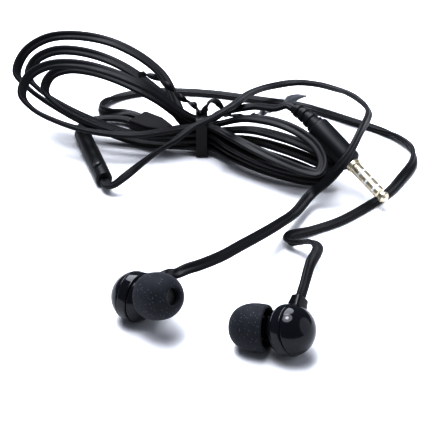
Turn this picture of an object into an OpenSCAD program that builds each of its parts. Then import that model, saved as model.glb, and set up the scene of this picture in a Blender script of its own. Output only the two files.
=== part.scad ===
// Wired in-ear headphones with an inline button pod, lying with their cord folded into a tied hank.
// Millimetres, +Z up. The origin is on the resting surface, midway between the two earbuds.

/* [Earbuds] */
// Diameter of the round housing at its middle ring
housing_d = 13.2; // [12:0.1:15]
// Width of the middle ring
ring_w = 2.8; // [2.2:0.1:4]
// Depth of the domed rear cap
cap_depth = 5.2; // [4:0.1:6.4]
// Depth of the domed front shell
front_depth = 4.4; // [3.6:0.1:6]
// Wall of the housing's shells
shell_wall = 0.9; // [0.6:0.1:1.2]
// Chamfer at each shell seam
seam_chamfer = 0.25; // [0.1:0.05:0.4]
// Angle between the nozzle and the housing's axis
nozzle_angle = 20; // [0:1:28]
// Outer diameter of the nozzle
nozzle_d = 5; // [4.4:0.1:6]
// Length of the nozzle beyond the front shell's dome
nozzle_len = 7.2; // [6:0.1:9]
// Wall of the nozzle
nozzle_wall = 0.7; // [0.5:0.05:1]

/* [Ear tips] */
// Widest diameter of the silicone ear tip
tip_d = 12.2; // [10:0.1:14]
// Length of the ear tip from skirt to front
tip_len = 10; // [8.8:0.1:12]
// Thickness of the skirt
tip_wall = 0.7; // [0.5:0.05:1]
// Diameter of the sound opening at the ear tip's front
tip_opening_d = 4.4; // [3:0.1:4.8]
// Wall of the ear tip's inner sleeve
sleeve_wall = 0.8; // [0.6:0.05:1]
// Clearance between the nozzle and the ear tip's sleeve
tip_clearance = 0.05; // [0.02:0.01:0.09]

/* [Drivers] */
// Thickness of the driver's frame
driver_t = 2.2; // [1.6:0.1:2.6]
// Diameter of the driver's magnet
magnet_d = 6.4; // [5:0.1:7.5]
// Thickness of the magnet
magnet_t = 1.8; // [1.2:0.1:2.4]
// Thickness of the solder board
solder_board_t = 0.8; // [0.5:0.1:1.2]
// Gap left between parts that are assembled without a fit
seat_gap = 0.03; // [0.02:0.01:0.1]

/* [Cord] */
// Width of the flat cord
cord_w = 3; // [2.4:0.1:3.2]
// Thickness of the flat cord
cord_t = 1.2; // [0.9:0.1:1.4]
// Diameter of the earbud's strain relief where it leaves the housing
relief_d = 4.4; // [4:0.1:6]
// Height of the earbud's strain relief
relief_h = 2.6; // [2:0.1:5]
// Turn of the strain relief about the housing from square to the nozzle's lean
relief_turn = 16; // [-20:1:30]

/* [Inline pod] */
// Diameter of the inline pod
pod_d = 5; // [4.6:0.1:6]
// Length of the inline pod
pod_len = 30; // [28:0.5:40]
// Wall of the pod's shells
pod_wall = 0.7; // [0.5:0.1:1]
// Diameter of the pod's push button
button_d = 2.4; // [1.8:0.1:3]
// Clearance round the push button
button_clearance = 0.08; // [0.03:0.01:0.1]
// Travel of the push button
button_travel = 0.3; // [0.2:0.05:0.5]

/* [Plug] */
// Diameter of the plug's metal contacts
plug_d = 3.5; // [2.5:0.5:3.5]
// Length of the metal contacts from the body to the tip
plug_len = 14; // [13:0.1:17]
// Width of each insulating ring
insulator_w = 0.7; // [0.4:0.05:0.9]
// Diameter of the plug's body
plug_body_d = 7; // [6:0.1:8]
// Length of the plug's body
plug_body_len = 16; // [14:0.5:24]
// Length of the plug's ribbed strain relief
plug_relief_len = 10; // [8:0.5:14]
// Number of ribs on the plug's strain relief
plug_ribs = 4; // [2:1:6]
// Angle that the plug's strain relief bends through
plug_bend = 22; // [0:1:40]

/* [Hank] */
// Number of loops that the main cord is folded into
hank_loops = 4; // [2:1:4]
// Least gap wanted between neighbouring strands
strand_gap = 0.55; // [0.45:0.05:0.8]
// Extra room between the rows at the waist, where the strands slope
waist_room = 0.5; // [0.2:0.1:0.6]
// Thickness of the twist tie's strip
tie_t = 0.6; // [0.5:0.05:0.8]
// Width of the twist tie's strip
tie_w = 3.4; // [2.4:0.1:5]

/* [Hidden] */
// Earbud poses: place of the ring's centre, then the housing axis's tilt and heading and the roll about it
left_at = [-19.34, 6.64, 6.68];
left_turn = [85, -36.3, 17];
right_at = [19.34, -8.52, 7.16];
right_turn = [112.7, 146.6, 132.6];

// Plug pose: place of the metal tip's end, then the rise and heading of the axis towards the cord
plug_at = [49.8, 59.1, 3.7];
plug_rise = 23.5;
plug_heading = 132;

// Inline pod pose: place of the axis's near end and the heading towards the hank
pod_at = [-32, 72.5, 2.55];
pod_heading = 107;
pod_roll = -20;

// Y-splitter: place of its outlet on the resting surface, heading towards the outlet, and its size
splitter_at = [-14, 103.5, 0];
splitter_heading = -38;
splitter_len = 13;
splitter_w = 8.4;
splitter_end_w = 4.6;
splitter_t = 3.4;

// Hank: middle of the waist's lowest strand, then the plane that each end's lobes lie in:
// [heading, rise, lean, lean below, spread between neighbouring loops, loop that stays in the plane]
waist = [-3.5, 94, 1.7];
left_plane = [165, 13, 50, 50, 3.6, 2];
right_plane = [-31, -1, 0, 0, 0.5, 0];
// One row for each loop, lowest first:
// [reach, turn in the plane, lean above, width above, pinch above, width below, pinch below]
left_loops = [
  [61, 5, 50, 25, 0.36, 9, 0.4], [55, 3, 50, 20, 0.65, 8, 0.4],
  [47, -2, 34, 23, 1.5, 9.5, 0.4], [52, -8, 50, 28, 1.5, 12, 0.4]];
right_loops = [
  [38, 0, 15, 3, 0.35, 5, 0.5], [42, 0, 20, 4.5, 0.35, 8, 0.5],
  [41, 0, 25, 6, 0.4, 11, 0.5], [43, -11.5, 62, 15, 0.8, 4, 0.45]];
// Lean of the strands' flat face halfway along each lobe, and what the upper strands add to it
left_lean = 45; // [0:1:90]
left_lean_rise = 60; // [0:1:90]
right_lean = 100; // [0:1:120]

// Cord routes, each point with the lean of its flat face: 0 lies flat and 90 stands on edge
left_ear_route = [
  [-9.1, 13, 9.6, 35], [-6.5, 14, 10.3, 40], [-3.1, 15.5, 10.6, 45], [2.1, 19.3, 10.6, 45],
  [7.9, 26.2, 9.8, 40],
  [14, 35, 8, 30], [19, 43.5, 6, 20], [23.5, 53, 3.5, 10], [28.5, 61.5, 4.5, 20], [32.5, 61.5, 8.5, 40],
  [36.5, 62, 13.5, 65], [39.5, 65.5, 16.5, 82], [42.3, 70.7, 19.3, 85], [45.4, 80.4, 19, 75],
  [46.2, 86, 18.2, 60], [45.7, 91, 17.3, 45], [44.6, 96.6, 16.2, 30], [42.2, 105, 14.2, 20],
  [39.5, 114, 11, 10], [33, 126, 7, 5], [26.5, 131, 5, 0],
  [19, 127.5, 5.5, 0], [12, 113, 10.6, 5], [6.5, 95.5, 15.6, 10], [0, 81.5, 18.5, 20], [-6, 75.5, 18.5, 20],
  [-11.5, 71.5, 16, 20], [-17, 71.5, 12, 10], [-22.5, 71, 7.5, 5], [-26.5, 69, 5, 0], [-29, 68.5, 3.3, 0]];
right_ear_route = [
  [25, 9, 15, 50], [27, 17, 13, 30], [28, 25, 10, 20], [27, 32, 7, 20], [25, 36.5, 4, 20],
  [21, 40, 2, 60], [21.5, 43, 1.9, 20], [28, 47.5, 1, 0], [36, 52.5, 0.8, 0], [44, 60, 0.7, 0],
  [51.5, 68.5, 0.7, 0], [56, 76, 1.1, 20], [60.5, 85, 1.7, 60], [61, 92, 1.8, 80], [58, 99.5, 1.7, 50],
  [52, 106.5, 1, 10], [44, 112, 1, 0], [36, 117.5, 1, 0], [28, 122.5, 1, 0], [19, 125.5, 1, 0],
  [9, 128.5, 1, 0], [0, 131, 1, 0], [-11, 132.5, 1, 0], [-21, 132.5, 1, 0], [-30.5, 129, 1, 0],
  [-35.5, 123.5, 1.7, 60], [-36, 118.5, 1.8, 85], [-32.5, 115.8, 1.8, 60], [-28, 116, 1.7, 10]];
left_lower_route = [
  [-41.5, 106.5, 1.8, 0], [-39, 110.5, 1.8, 0], [-33.5, 112.4, 1.8, 0]];
plug_lead_route = [
  [19, 90.5, 17, 10], [15.5, 94.7, 15.1, 10], [12.5, 97.8, 13.7, 5]];
hank_out_route = [
  [2, 97.5, 11.3, 0], [5.5, 98.9, 11.9, 0]];
hank_in_route = [
  [-7.8, 97.5, 1.7, 0]];

// Tails of the twist tie from the middle of its band's top, each point with its half-width
right_tail = [
  [0.7, 0, 0, 0.6], [0.9, 0, 1, 0.6], [1.5, 0.8, 2.5, 0.8], [4, 3, 2.7, 0.9], [6, 6, 0.2, 0.6],
  [8, 8.4, -3.2, 0.7], [12.5, 8.8, -4.6, 0.6], [17, 8.2, -4.6, 0.7], [20, 7.8, -2.5, 0.6],
  [22.3, 5, 1.5, 0.7], [24, 1.5, 5, 0.6], [25.5, -2, 7.7, 0.8], [27.7, -3.5, 9.3, 1.1],
  [30, -4.5, 10, 0.9], [32, -5, 10.2, 0.3]];
left_tail = [
  [-0.7, 0, 0, 0.6], [-0.8, 0, 1, 0.6], [-2, 2, 2, 0.8], [-4, 4.3, 2.2, 0.6], [-6.5, 5.7, 3, 0.7],
  [-10.5, 7.3, 6.2, 0.6], [-14.5, 9, 8.2, 0.7], [-17, 9, 8.9, 0.6], [-18.8, 7.8, 9.5, 0.5]];

$fn = 96;

// Vector helpers
function unit(v) = v / norm(v);
function mix(a, b, f) = a + (b - a) * f;

// Direction of travel at one point of a route
function heading(p, i) = unit(p[min(i + 1, len(p) - 1)] - p[max(i - 1, 0)]);

// Normal of the flat face for travel t: straight up, then leaned over to the right of the travel
function face_dir(t, lean) =
  let (up = unit([0, 0, 1] - t[2] * t), side = cross(t, up))
  cos(lean) * up + sin(lean) * side;

// Strand positions round the hank. One loop is 360 degrees: 0 is the left end, 90 the upper pass
// of the waist, 180 the right end and 270 the lower pass. The pile climbs steadily.
row_pitch = cord_t + strand_gap + waist_room;
column = (cord_w + strand_gap) / 2;
function plane_axis(v) = [cos(v[0]) * cos(v[1]), sin(v[0]) * cos(v[1]), sin(v[1])];
function leaned(v, lean) =
  let (a = plane_axis(v), up = [0, cos(lean), sin(lean)])
  unit(up - (up * a) * a);
function plane_normal(v) =
  let (n = cross(plane_axis(v), leaned(v, v[2])))
  n[2] < 0 ? -n : n;
function eased(c, pinch) = c / sqrt(c * c + pinch * pinch);
function lobe(plane, v, row, c, s) =
  let (
    axis = cos(v[1]) * plane_axis(plane) + sin(v[1]) * leaned(plane, plane[2]),
    up = leaned(plane, mix(plane[3], v[2], (1 + s) / 2)),
    out = s > 0 ? v[3] * eased(c, v[4]) : v[5] * eased(c, v[6])
  )
  v[0] * c * axis
  + out * pow(abs(s), 0.8) * sign(s) * up
  + plane[4] * (row - plane[5]) * eased(c, 0.15) * plane_normal(plane);
function pick(list, a) = list[max(0, min(len(list) - 1, floor(a / 360)))];
// The waist's strands run straight under the tie, and the ones on the outside of the bend run further
waist_half = tie_w / 2 + 1.1;
waist_miter = 0.5;
function waist_end(k, s, row) =
  waist + [(k % 2 == 0 ? waist_half : -waist_half) + waist_miter * s, column * s, row_pitch * row];
// One half turn k goes from the waist round one end and back in `arc_steps` steps of equal angle
arc_steps = 11;
function hank_point(k, i) =
  let (
    a = 90 + 180 * (k + i / arc_steps),
    c = i % arc_steps == 0 ? 0 : cos(a),
    s = sin(a),
    row = (a - 90) / 360
  )
  waist_end(k, s, row) + (k % 2 == 0 ? lobe(right_plane, pick(right_loops, a), row, -c, s)
                : lobe(left_plane, pick(left_loops, a - 180), row, c, s));
function hank_lean(k, i) =
  let (a = 90 + 180 * (k + i / arc_steps))
  (k % 2 == 0 ? right_lean * sin(a) : left_lean + left_lean_rise * max(sin(a), 0)) * cos(a) * cos(a);

// One ring of a flat cord's tube: across and thick in halves of its width and thickness
function ring(p, t, lean, outline) =
  let (n = face_dir(t, lean), side = cross(t, n))
  [for (q = outline) p + q[0] * cord_w / 2 * side + q[1] * cord_t / 2 * n];
round_8 = [[1, 0.45], [0.8, 1], [-0.8, 1], [-1, 0.45], [-1, -0.45], [-0.8, -1], [0.8, -1], [1, -0.45]];
round_6 = [[1, 0], [0.78, 1], [-0.78, 1], [-1, 0], [-0.78, -1], [0.78, -1]];

// Closed tube through rings of equal size, with its faces in triangles
module tube(rings) {
  sides = len(rings[0]);
  last = (len(rings) - 1) * sides;
  polyhedron(
    points = [for (r = rings) each r],
    faces = [
      for (i = [0 : len(rings) - 2], j = [0 : sides - 1])
        let (a = i * sides + j, b = i * sides + (j + 1) % sides)
        each [[a, b, b + sides], [a, b + sides, a + sides]],
      for (j = [1 : sides - 2]) each [[0, j + 1, j], [last, last + j, last + j + 1]]
    ]
  );
}

// Flat cord along a route of [x, y, z, lean]
module flat_cord(route, outline = round_8) {
  at = [for (p = route) [p[0], p[1], p[2]]];
  tube([for (i = [0 : len(route) - 1]) ring(at[i], heading(at, i), route[i][3], outline)]);
}

// Turns of a point about Z and about Y
function turn_z(p, a) = [p[0] * cos(a) - p[1] * sin(a), p[0] * sin(a) + p[1] * cos(a), p[2]];
function turn_y(p, a) = [p[0] * cos(a) + p[2] * sin(a), p[1], p[2] * cos(a) - p[0] * sin(a)];

// Earbud frame: the origin is the ring's centre, +Z the housing's axis towards the ear, +Y the
// way the cord leaves and +X the way the nozzle leans. The left earbud mirrors the right one.
function bud_point(left, q) =
  let (t = left ? left_turn : right_turn, m = [left ? -q[0] : q[0], q[1], q[2]])
  (left ? left_at : right_at) + turn_z(turn_y(turn_z(m, t[2]), t[0]), t[1]);
module in_bud(left) {
  t = left ? left_turn : right_turn;
  translate(left ? left_at : right_at)
    rotate([0, t[0], t[1]])
      rotate([0, 0, t[2]])
        if (left) mirror([1, 0, 0]) children();
        else children();
}

housing_r = housing_d / 2;
shell_base_r = housing_r - seam_chamfer / 2;
ring_inner_r = housing_r - shell_wall;
function cap_sphere(depth) = (depth * depth + shell_base_r * shell_base_r) / (2 * depth);
cap_r = cap_sphere(cap_depth);
cap_z = cap_r - cap_depth - ring_w / 2;
front_r = cap_sphere(front_depth);
front_z = ring_w / 2 + front_depth - front_r;
nozzle_r = nozzle_d / 2;
nozzle_end = front_r + nozzle_len;
screen_t = 0.3;
screen_seat = 0.45;
screen_r = nozzle_r - nozzle_wall / 2;

// Distances along the nozzle are measured from the centre of the front shell's sphere
module on_nozzle() {
  translate([0, 0, front_z]) rotate([0, nozzle_angle, 0]) children();
}

module rear_cap() {
  color("#151518") difference() {
    intersection() {
      translate([0, 0, cap_z]) sphere(r = cap_r);
      translate([0, 0, -ring_w / 2 - cap_depth - 1]) cylinder(r = housing_r, h = cap_depth + 1);
    }
    translate([0, 0, cap_z]) sphere(r = cap_r - shell_wall);
  }
}

module mid_ring() {
  color("#1b1b1e") difference() {
    rotate_extrude() polygon([
      [ring_inner_r, -ring_w / 2], [housing_r - seam_chamfer, -ring_w / 2],
      [housing_r, -ring_w / 2 + seam_chamfer], [housing_r, ring_w / 2 - seam_chamfer],
      [housing_r - seam_chamfer, ring_w / 2], [ring_inner_r, ring_w / 2]
    ]);
    on_relief() cylinder(r = relief_peg_r + seat_gap, h = housing_r + 1);
  }
}

module front_shell() {
  color("#151518") difference() {
    union() {
      intersection() {
        translate([0, 0, front_z]) sphere(r = front_r);
        translate([0, 0, ring_w / 2]) cylinder(r = housing_r, h = front_depth + 1);
      }
      on_nozzle() translate([0, 0, front_r - shell_wall])
        cylinder(r = nozzle_r, h = nozzle_end - front_r + shell_wall);
    }
    translate([0, 0, front_z]) sphere(r = front_r - shell_wall);
    on_nozzle() translate([0, 0, front_r - 2 * shell_wall])
      cylinder(r = nozzle_r - nozzle_wall, h = nozzle_end);
    on_nozzle() translate([0, 0, nozzle_end - screen_seat]) cylinder(r = screen_r, h = 2 * screen_seat);
  }
}

module nozzle_screen() {
  color("#8f9296") on_nozzle() translate([0, 0, nozzle_end - screen_seat])
    cylinder(r = screen_r - seat_gap, h = screen_t);
}

// Ear tip: a blunt rounded skirt round a sleeve that slides on the nozzle
tip_r = tip_d / 2;
opening_r = tip_opening_d / 2;
lip_len = 2.4;
lip_gap = 0.15;
tip_front = nozzle_end + lip_gap + lip_len;
tip_rim = tip_front - tip_len;
tip_widest = tip_rim + 2.8;
sleeve_r = nozzle_r + tip_clearance;
sleeve_outer_r = sleeve_r + sleeve_wall;
rim_r = 0.95 * tip_r;
tip_web = 2.6;
// Quarter of a rounded-square outline, from the widest place in to the radius from_r
skirt_steps = 10;
skirt_round = 0.87;
function skirt_curve(r, h, from_r) =
  let (last = acos(pow(from_r / r, 1 / skirt_round)))
  [for (i = [0 : skirt_steps]) let (t = last * i / skirt_steps)
    [r * pow(cos(t), skirt_round), tip_widest + h * pow(sin(t), skirt_round)]];
module eartip() {
  outer = skirt_curve(tip_r, tip_front - tip_widest, opening_r + 0.5);
  inner = skirt_curve(tip_r - tip_wall, tip_front - tip_widest - tip_web, sleeve_outer_r);
  lip_top = outer[skirt_steps][1];
  color("#2e2f33") {
    on_nozzle() rotate_extrude() polygon(concat(
      [[opening_r, tip_front - lip_len], [opening_r, lip_top - 0.5], [opening_r + 0.15, lip_top - 0.1]],
      reversed(outer),
      [[rim_r, tip_rim + 0.2], [rim_r - 0.2, tip_rim], [rim_r - tip_wall, tip_rim + 0.2]],
      inner,
      [[sleeve_outer_r, tip_rim + 1.6], [sleeve_r, tip_rim + 1.6], [sleeve_r, tip_front - lip_len]]
    ));
  }
}

// Driver: a frame round the magnet with four vents, the diaphragm before it and the board behind
driver_vent_r = 0.6;
diaphragm_t = 0.15;
module driver_frame() {
  color("#3a3d42") difference() {
    translate([0, 0, -driver_t / 2]) cylinder(r = ring_inner_r - seat_gap, h = driver_t);
    translate([0, 0, -driver_t]) cylinder(d = magnet_d + 2 * seat_gap, h = 2 * driver_t);
    for (a = [45 : 90 : 315])
      rotate([0, 0, a]) translate([(ring_inner_r + magnet_d / 2) / 2, 0, -driver_t])
        cylinder(r = driver_vent_r, h = 2 * driver_t);
  }
}
module magnet() {
  color("#9da1a6") translate([0, 0, -driver_t / 2]) cylinder(d = magnet_d, h = magnet_t);
}
module diaphragm() {
  color("#c9b27a") translate([0, 0, driver_t / 2]) cylinder(r = ring_inner_r - 0.3, h = diaphragm_t);
}
module solder_board() {
  color("#2f6b45") translate([0, 0, -driver_t / 2 - solder_board_t])
    cylinder(d = magnet_d - 0.6, h = solder_board_t);
}

// Strain relief: a taper seated on the ring, with a peg in the ring's hole
relief_peg_r = 0.9;
relief_top = housing_r + relief_h;
module on_relief(h = 0) {
  rotate([-90, 0, relief_turn]) translate([0, 0, h]) children();
}
module strain_relief() {
  color("#26272b") {
    difference() {
      on_relief() cylinder(r1 = relief_d / 2 + 0.3, r2 = relief_d / 2 - 0.4, h = relief_top);
      translate([0, 0, -housing_r]) cylinder(r = housing_r + seat_gap, h = housing_d);
    }
    on_relief(ring_inner_r + seat_gap) cylinder(r = relief_peg_r, h = shell_wall + 0.2);
  }
}

// Cord ends
function unit_xy(a) = [cos(a), sin(a), 0];
function relief_points(left, lean) =
  [for (y = [0, cord_w]) concat(bud_point(left, turn_z([0, relief_top + y, 0], relief_turn)), [lean])];
function reversed(list) = [for (i = [len(list) - 1 : -1 : 0]) list[i]];
pod_dir = unit_xy(pod_heading);
splitter_dir = unit_xy(splitter_heading);
splitter_side = unit_xy(splitter_heading + 90);
splitter_back = splitter_at - splitter_len * splitter_dir + [0, 0, splitter_t / 2];
inlet_step = (splitter_w - cord_w) / 2 - 0.7;
function inlet(sign) =
  [for (y = [cord_w, 0]) concat(splitter_back + sign * inlet_step * splitter_side - y * splitter_dir, [0])];
function lengthwise(p, d) = [concat(p, [0]), concat(p + cord_w * d, [0])];

left_ear_points = concat(relief_points(true, 30), left_ear_route, reversed(lengthwise(pod_at, -pod_dir)));
left_lower_points = concat(lengthwise(pod_at + pod_len * pod_dir, pod_dir), left_lower_route, inlet(-1));
right_ear_points = concat(relief_points(false, 60), right_ear_route, inlet(1));
module left_ear_cord() { color("#2b2c30") flat_cord(left_ear_points); }
module left_lower_cord() { color("#2b2c30") flat_cord(left_lower_points); }
module right_ear_cord() { color("#2b2c30") flat_cord(right_ear_points); }

// Hank with its two ends: from the splitter into the lowest row, and out of the top row to the plug
waist_in = waist_end(1, 1, 0);
waist_out = waist_end(0, 1, hank_loops);
hank_steps = [for (k = [0 : 2 * hank_loops - 1], i = [0 : arc_steps])
  concat(hank_point(k, i), [hank_lean(k, i)])];
hank_points = concat(
  lengthwise(splitter_at + [0, 0, splitter_t / 2], splitter_dir), hank_in_route,
  [concat(waist_in, [0])], hank_steps, [concat(waist_out, [0])], hank_out_route);
module cord_hank() {
  color("#2b2c30") flat_cord(hank_points, round_6);
  echo(least_gap_between_strands = min(strand_gaps()));
}

// Gaps between strands that lie beside each other, at four places on each straight piece of the
// hank: the distance across the first strand less the half section of both in that direction, or
// the same along that strand's thickness or width where it is more
gap_places = [0, 0.25, 0.5, 0.75];
apart_pieces = 4;
function half_section(d, t, n) =
  max([for (q = round_6) q[0] * cord_w / 2 * abs(d * cross(t, n)) + q[1] * cord_t / 2 * abs(d * n)]);
function strand_gaps() =
  let (
    at = [for (p = hank_points) [p[0], p[1], p[2]]],
    last = len(at) - 2,
    dir = [for (i = [0 : last]) unit(at[i + 1] - at[i])],
    face = [for (i = [0 : last]) face_dir(dir[i], (hank_points[i][3] + hank_points[i + 1][3]) / 2)]
  )
  [for (i = [0 : last], f = gap_places, j = [i + apart_pieces : 1 : last], g = gap_places)
    let (
      d = mix(at[j], at[j + 1], g) - mix(at[i], at[i + 1], f),
      beside = d - (d * dir[i]) * dir[i]
    )
    if (norm(d) < 3 * cord_w && norm(d - beside) < cord_w / 2)
      max([for (u = [unit(beside), face[i], cross(dir[i], face[i])])
        abs(d * u) - half_section(u, dir[i], face[i]) - half_section(u, dir[j], face[j])])];

// Plug: its metal runs from the tip's end at 0 to the body, then the ribbed strain relief bends down
module on_plug(s = 0) {
  translate(plug_at) rotate([0, 90 - plug_rise, plug_heading]) translate([0, 0, s]) children();
}
plug_r = plug_d / 2;
plug_collar = 1.2;
plug_metal = plug_len + plug_collar;
rib_step = plug_relief_len / plug_ribs;
rib_turn = plug_bend / (plug_ribs - 1);
// The relief's centre line: each rib runs straight, turned down by rib_turn from the one before
function rib_dir(n) = [sin(rib_turn * n), 0, cos(rib_turn * n)];
function rib_place(n) =
  n == 0 ? [0, 0, plug_metal + plug_body_len] : rib_place(n - 1) + rib_step * rib_dir(n - 1);
function plug_point(q) = plug_at + turn_z(turn_y(q, 90 - plug_rise), plug_heading);
relief_end = plug_point(rib_place(plug_ribs));
relief_dir = unit(relief_end - plug_point(rib_place(plug_ribs - 1)));
plug_lead_points = concat(
  lengthwise(relief_end, relief_dir), plug_lead_route,
  [for (i = [1, 0]) let (d = unit(end_of(hank_out_route, 0) - end_of(hank_out_route, 1)))
    concat(end_of(hank_out_route, 0) + i * cord_w * d, [0])]);
function end_of(route, i) = let (p = route[len(route) - 1 - i]) [p[0], p[1], p[2]];
module plug_lead() { color("#2b2c30") flat_cord(plug_lead_points); }

// Plug pieces, turned about the plug's axis. A rod on the tip carries the insulator, and the
// insulator's three flanges part the contacts.
rod_r = 0.5;
core_r = 1;
tip_seg = 4.4;
ring_seg = 2.4;
ring_1_at = tip_seg + insulator_w;
ring_2_at = ring_1_at + ring_seg + insulator_w;
sleeve_at = ring_2_at + ring_seg + insulator_w;
collar_r = plug_r + 0.4;
stem_r = core_r + 0.45;
bore_depth = 3;
module plug_tip() {
  color("#d9c9a3") {
    on_plug() rotate_extrude() polygon([
      [0, 0], [plug_r * 0.35, 0], [plug_r * 0.7, 0.35], [plug_r * 0.95, 1], [plug_r, 1.5],
      [plug_r * 0.8, 2.3], [plug_r * 0.75, 2.6], [plug_r, 3], [plug_r, tip_seg],
      [rod_r, tip_seg], [rod_r, plug_metal + bore_depth - 0.5], [0, plug_metal + bore_depth - 0.5]
    ]);
  }
}
module plug_ring(from) {
  color("#d9c9a3") on_plug(from) difference() {
    cylinder(r = plug_r, h = ring_seg);
    translate([0, 0, -1]) cylinder(r = core_r + seat_gap, h = ring_seg + 2);
  }
}
module plug_insulators() {
  color("#d8d8d6") on_plug() difference() {
    union() {
      translate([0, 0, tip_seg]) cylinder(r = core_r, h = plug_metal + bore_depth - 1 - tip_seg);
      for (s = [ring_1_at, ring_2_at, sleeve_at])
        translate([0, 0, s - insulator_w]) cylinder(r = plug_r, h = insulator_w);
    }
    translate([0, 0, tip_seg - 1]) cylinder(r = rod_r + seat_gap, h = plug_metal);
  }
}
module plug_sleeve() {
  color("#d9c9a3") on_plug() difference() {
    union() {
      translate([0, 0, sleeve_at]) cylinder(r = plug_r, h = plug_metal - sleeve_at);
      translate([0, 0, plug_len]) cylinder(r = stem_r, h = plug_collar + bore_depth);
      translate([0, 0, plug_len]) cylinder(r = collar_r, h = plug_collar);
    }
    translate([0, 0, sleeve_at - 1]) cylinder(r = core_r + seat_gap, h = plug_metal);
  }
}
module plug_body() {
  r = plug_body_d / 2;
  color("#1d1d20") on_plug(plug_metal) difference() {
    rotate_extrude() polygon([
      [0, 0], [collar_r, 0], [r - 0.15, 0.9], [r, 1.4],
      [r, plug_body_len - 0.6], [r - 0.5, plug_body_len], [0, plug_body_len]
    ]);
    translate([0, 0, -1]) cylinder(r = stem_r + seat_gap, h = bore_depth + 1 + seat_gap);
  }
}
relief_start_r = plug_body_d / 2 - 0.7;
relief_end_r = cord_w / 2 + 0.35;
rib_depth = 0.35;
rib_root = 0.3;
module plug_strain_relief() {
  color("#26272b") on_plug() for (n = [0 : plug_ribs - 1]) {
    r = mix(relief_start_r, relief_end_r, n / plug_ribs);
    root = n == 0 ? 0 : rib_root;
    translate(rib_place(n)) rotate([0, rib_turn * n, 0]) {
      translate([0, 0, -root]) cylinder(r = r - rib_depth, h = rib_step + root);
      cylinder(r = r, h = rib_step * 0.55);
    }
  }
}

// Y-splitter: a flat moulded body, wide where the two ear cords come in
module y_splitter() {
  half = splitter_w / 2;
  end_half = splitter_end_w / 2;
  color("#1d1d20") {
    translate(splitter_at) rotate([0, 0, splitter_heading]) linear_extrude(splitter_t) polygon([
      [0, -end_half + 0.4], [0, end_half - 0.4], [-0.4, end_half], [-splitter_len * 0.45, half],
      [-splitter_len + 0.6, half], [-splitter_len, half - 0.6],
      [-splitter_len, -half + 0.6], [-splitter_len + 0.6, -half], [-splitter_len * 0.45, -half],
      [-0.4, -end_half]
    ]);
  }
}

// Inline pod: two half shells between round end caps, with a sprung button over the circuit board
pod_r = pod_d / 2;
pod_bore_r = pod_r - pod_wall;
pod_cap_len = 2.2;
pod_body_len = pod_len - 2 * pod_cap_len;
board_t = 0.8;
board_top = 0.1;
board_w = 2 * (sqrt(pow(pod_bore_r, 2) - pow(board_t - board_top, 2)) - seat_gap);
button_from_end = 6;
button_proud = 0.35;
button_gap = 0.05;
flange_t = 0.4;
flange_side = 0.25;
mic_from_end = 6;
mic_r = 0.8;
mic_t = 0.7;
mic_port_r = 0.4;
// Along the pod's axis from its near end, with +Z the side that the button is on
module in_pod(s = 0) {
  translate(pod_at) rotate([0, 0, pod_heading]) rotate([pod_roll, 0, 0]) translate([s, 0, 0]) children();
}
module along(h, r) {
  rotate([0, 90, 0]) cylinder(r = r, h = h);
}
module pod_half(side) {
  difference() {
    along(pod_body_len, pod_r);
    translate([-1, 0, 0]) along(pod_body_len + 2, pod_bore_r);
    translate([-1, -pod_d, side > 0 ? -pod_d : 0]) cube([pod_body_len + 2, 2 * pod_d, pod_d]);
  }
}
module pod_upper_shell() {
  color("#1d1d20") in_pod(pod_cap_len) difference() {
    pod_half(1);
    translate([button_from_end - pod_cap_len, 0, 0]) cylinder(r = button_d / 2 + button_clearance, h = pod_d);
  }
}
module pod_lower_shell() {
  color("#1d1d20") in_pod(pod_cap_len) difference() {
    pod_half(-1);
    translate([pod_body_len - mic_from_end, 0, -pod_d]) cylinder(r = mic_port_r, h = pod_d);
  }
}
// End cap: its rim shuts the shells' end and its plug fits their bore
module pod_cap() {
  color("#1d1d20") {
    rotate([0, -90, 0]) rotate_extrude() polygon([
      [0, 0], [pod_r, 0], [pod_r, pod_cap_len - 0.5], [pod_r - 0.15, pod_cap_len - 0.15],
      [pod_r - 0.5, pod_cap_len], [0, pod_cap_len]
    ]);
    along(1.5, pod_bore_r - seat_gap);
  }
}
module pod_near_cap() {
  in_pod(pod_cap_len) pod_cap();
}
module pod_far_cap() {
  in_pod(pod_len - pod_cap_len) rotate([0, 0, 180]) pod_cap();
}
module pod_circuit_board() {
  color("#2f6b45") in_pod(pod_cap_len + 1.6)
    translate([0, -board_w / 2, board_top - board_t]) cube([pod_body_len - 3.2, board_w, board_t]);
}
module pod_microphone() {
  color("#b9bcc0") in_pod(pod_cap_len + pod_body_len - mic_from_end)
    translate([0, 0, board_top - board_t - mic_t]) cylinder(r = mic_r, h = mic_t);
}
module pod_button() {
  base = board_top + button_travel + button_gap;
  color("#34353a") in_pod(button_from_end) {
    translate([0, 0, base]) cylinder(r = button_d / 2, h = pod_r + button_proud - base);
    intersection() {
      translate([0, 0, base]) cylinder(r = button_d / 2 + flange_side, h = flange_t);
      translate([-button_d, 0, 0]) along(2 * button_d, pod_bore_r - 0.08);
    }
  }
}

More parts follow.
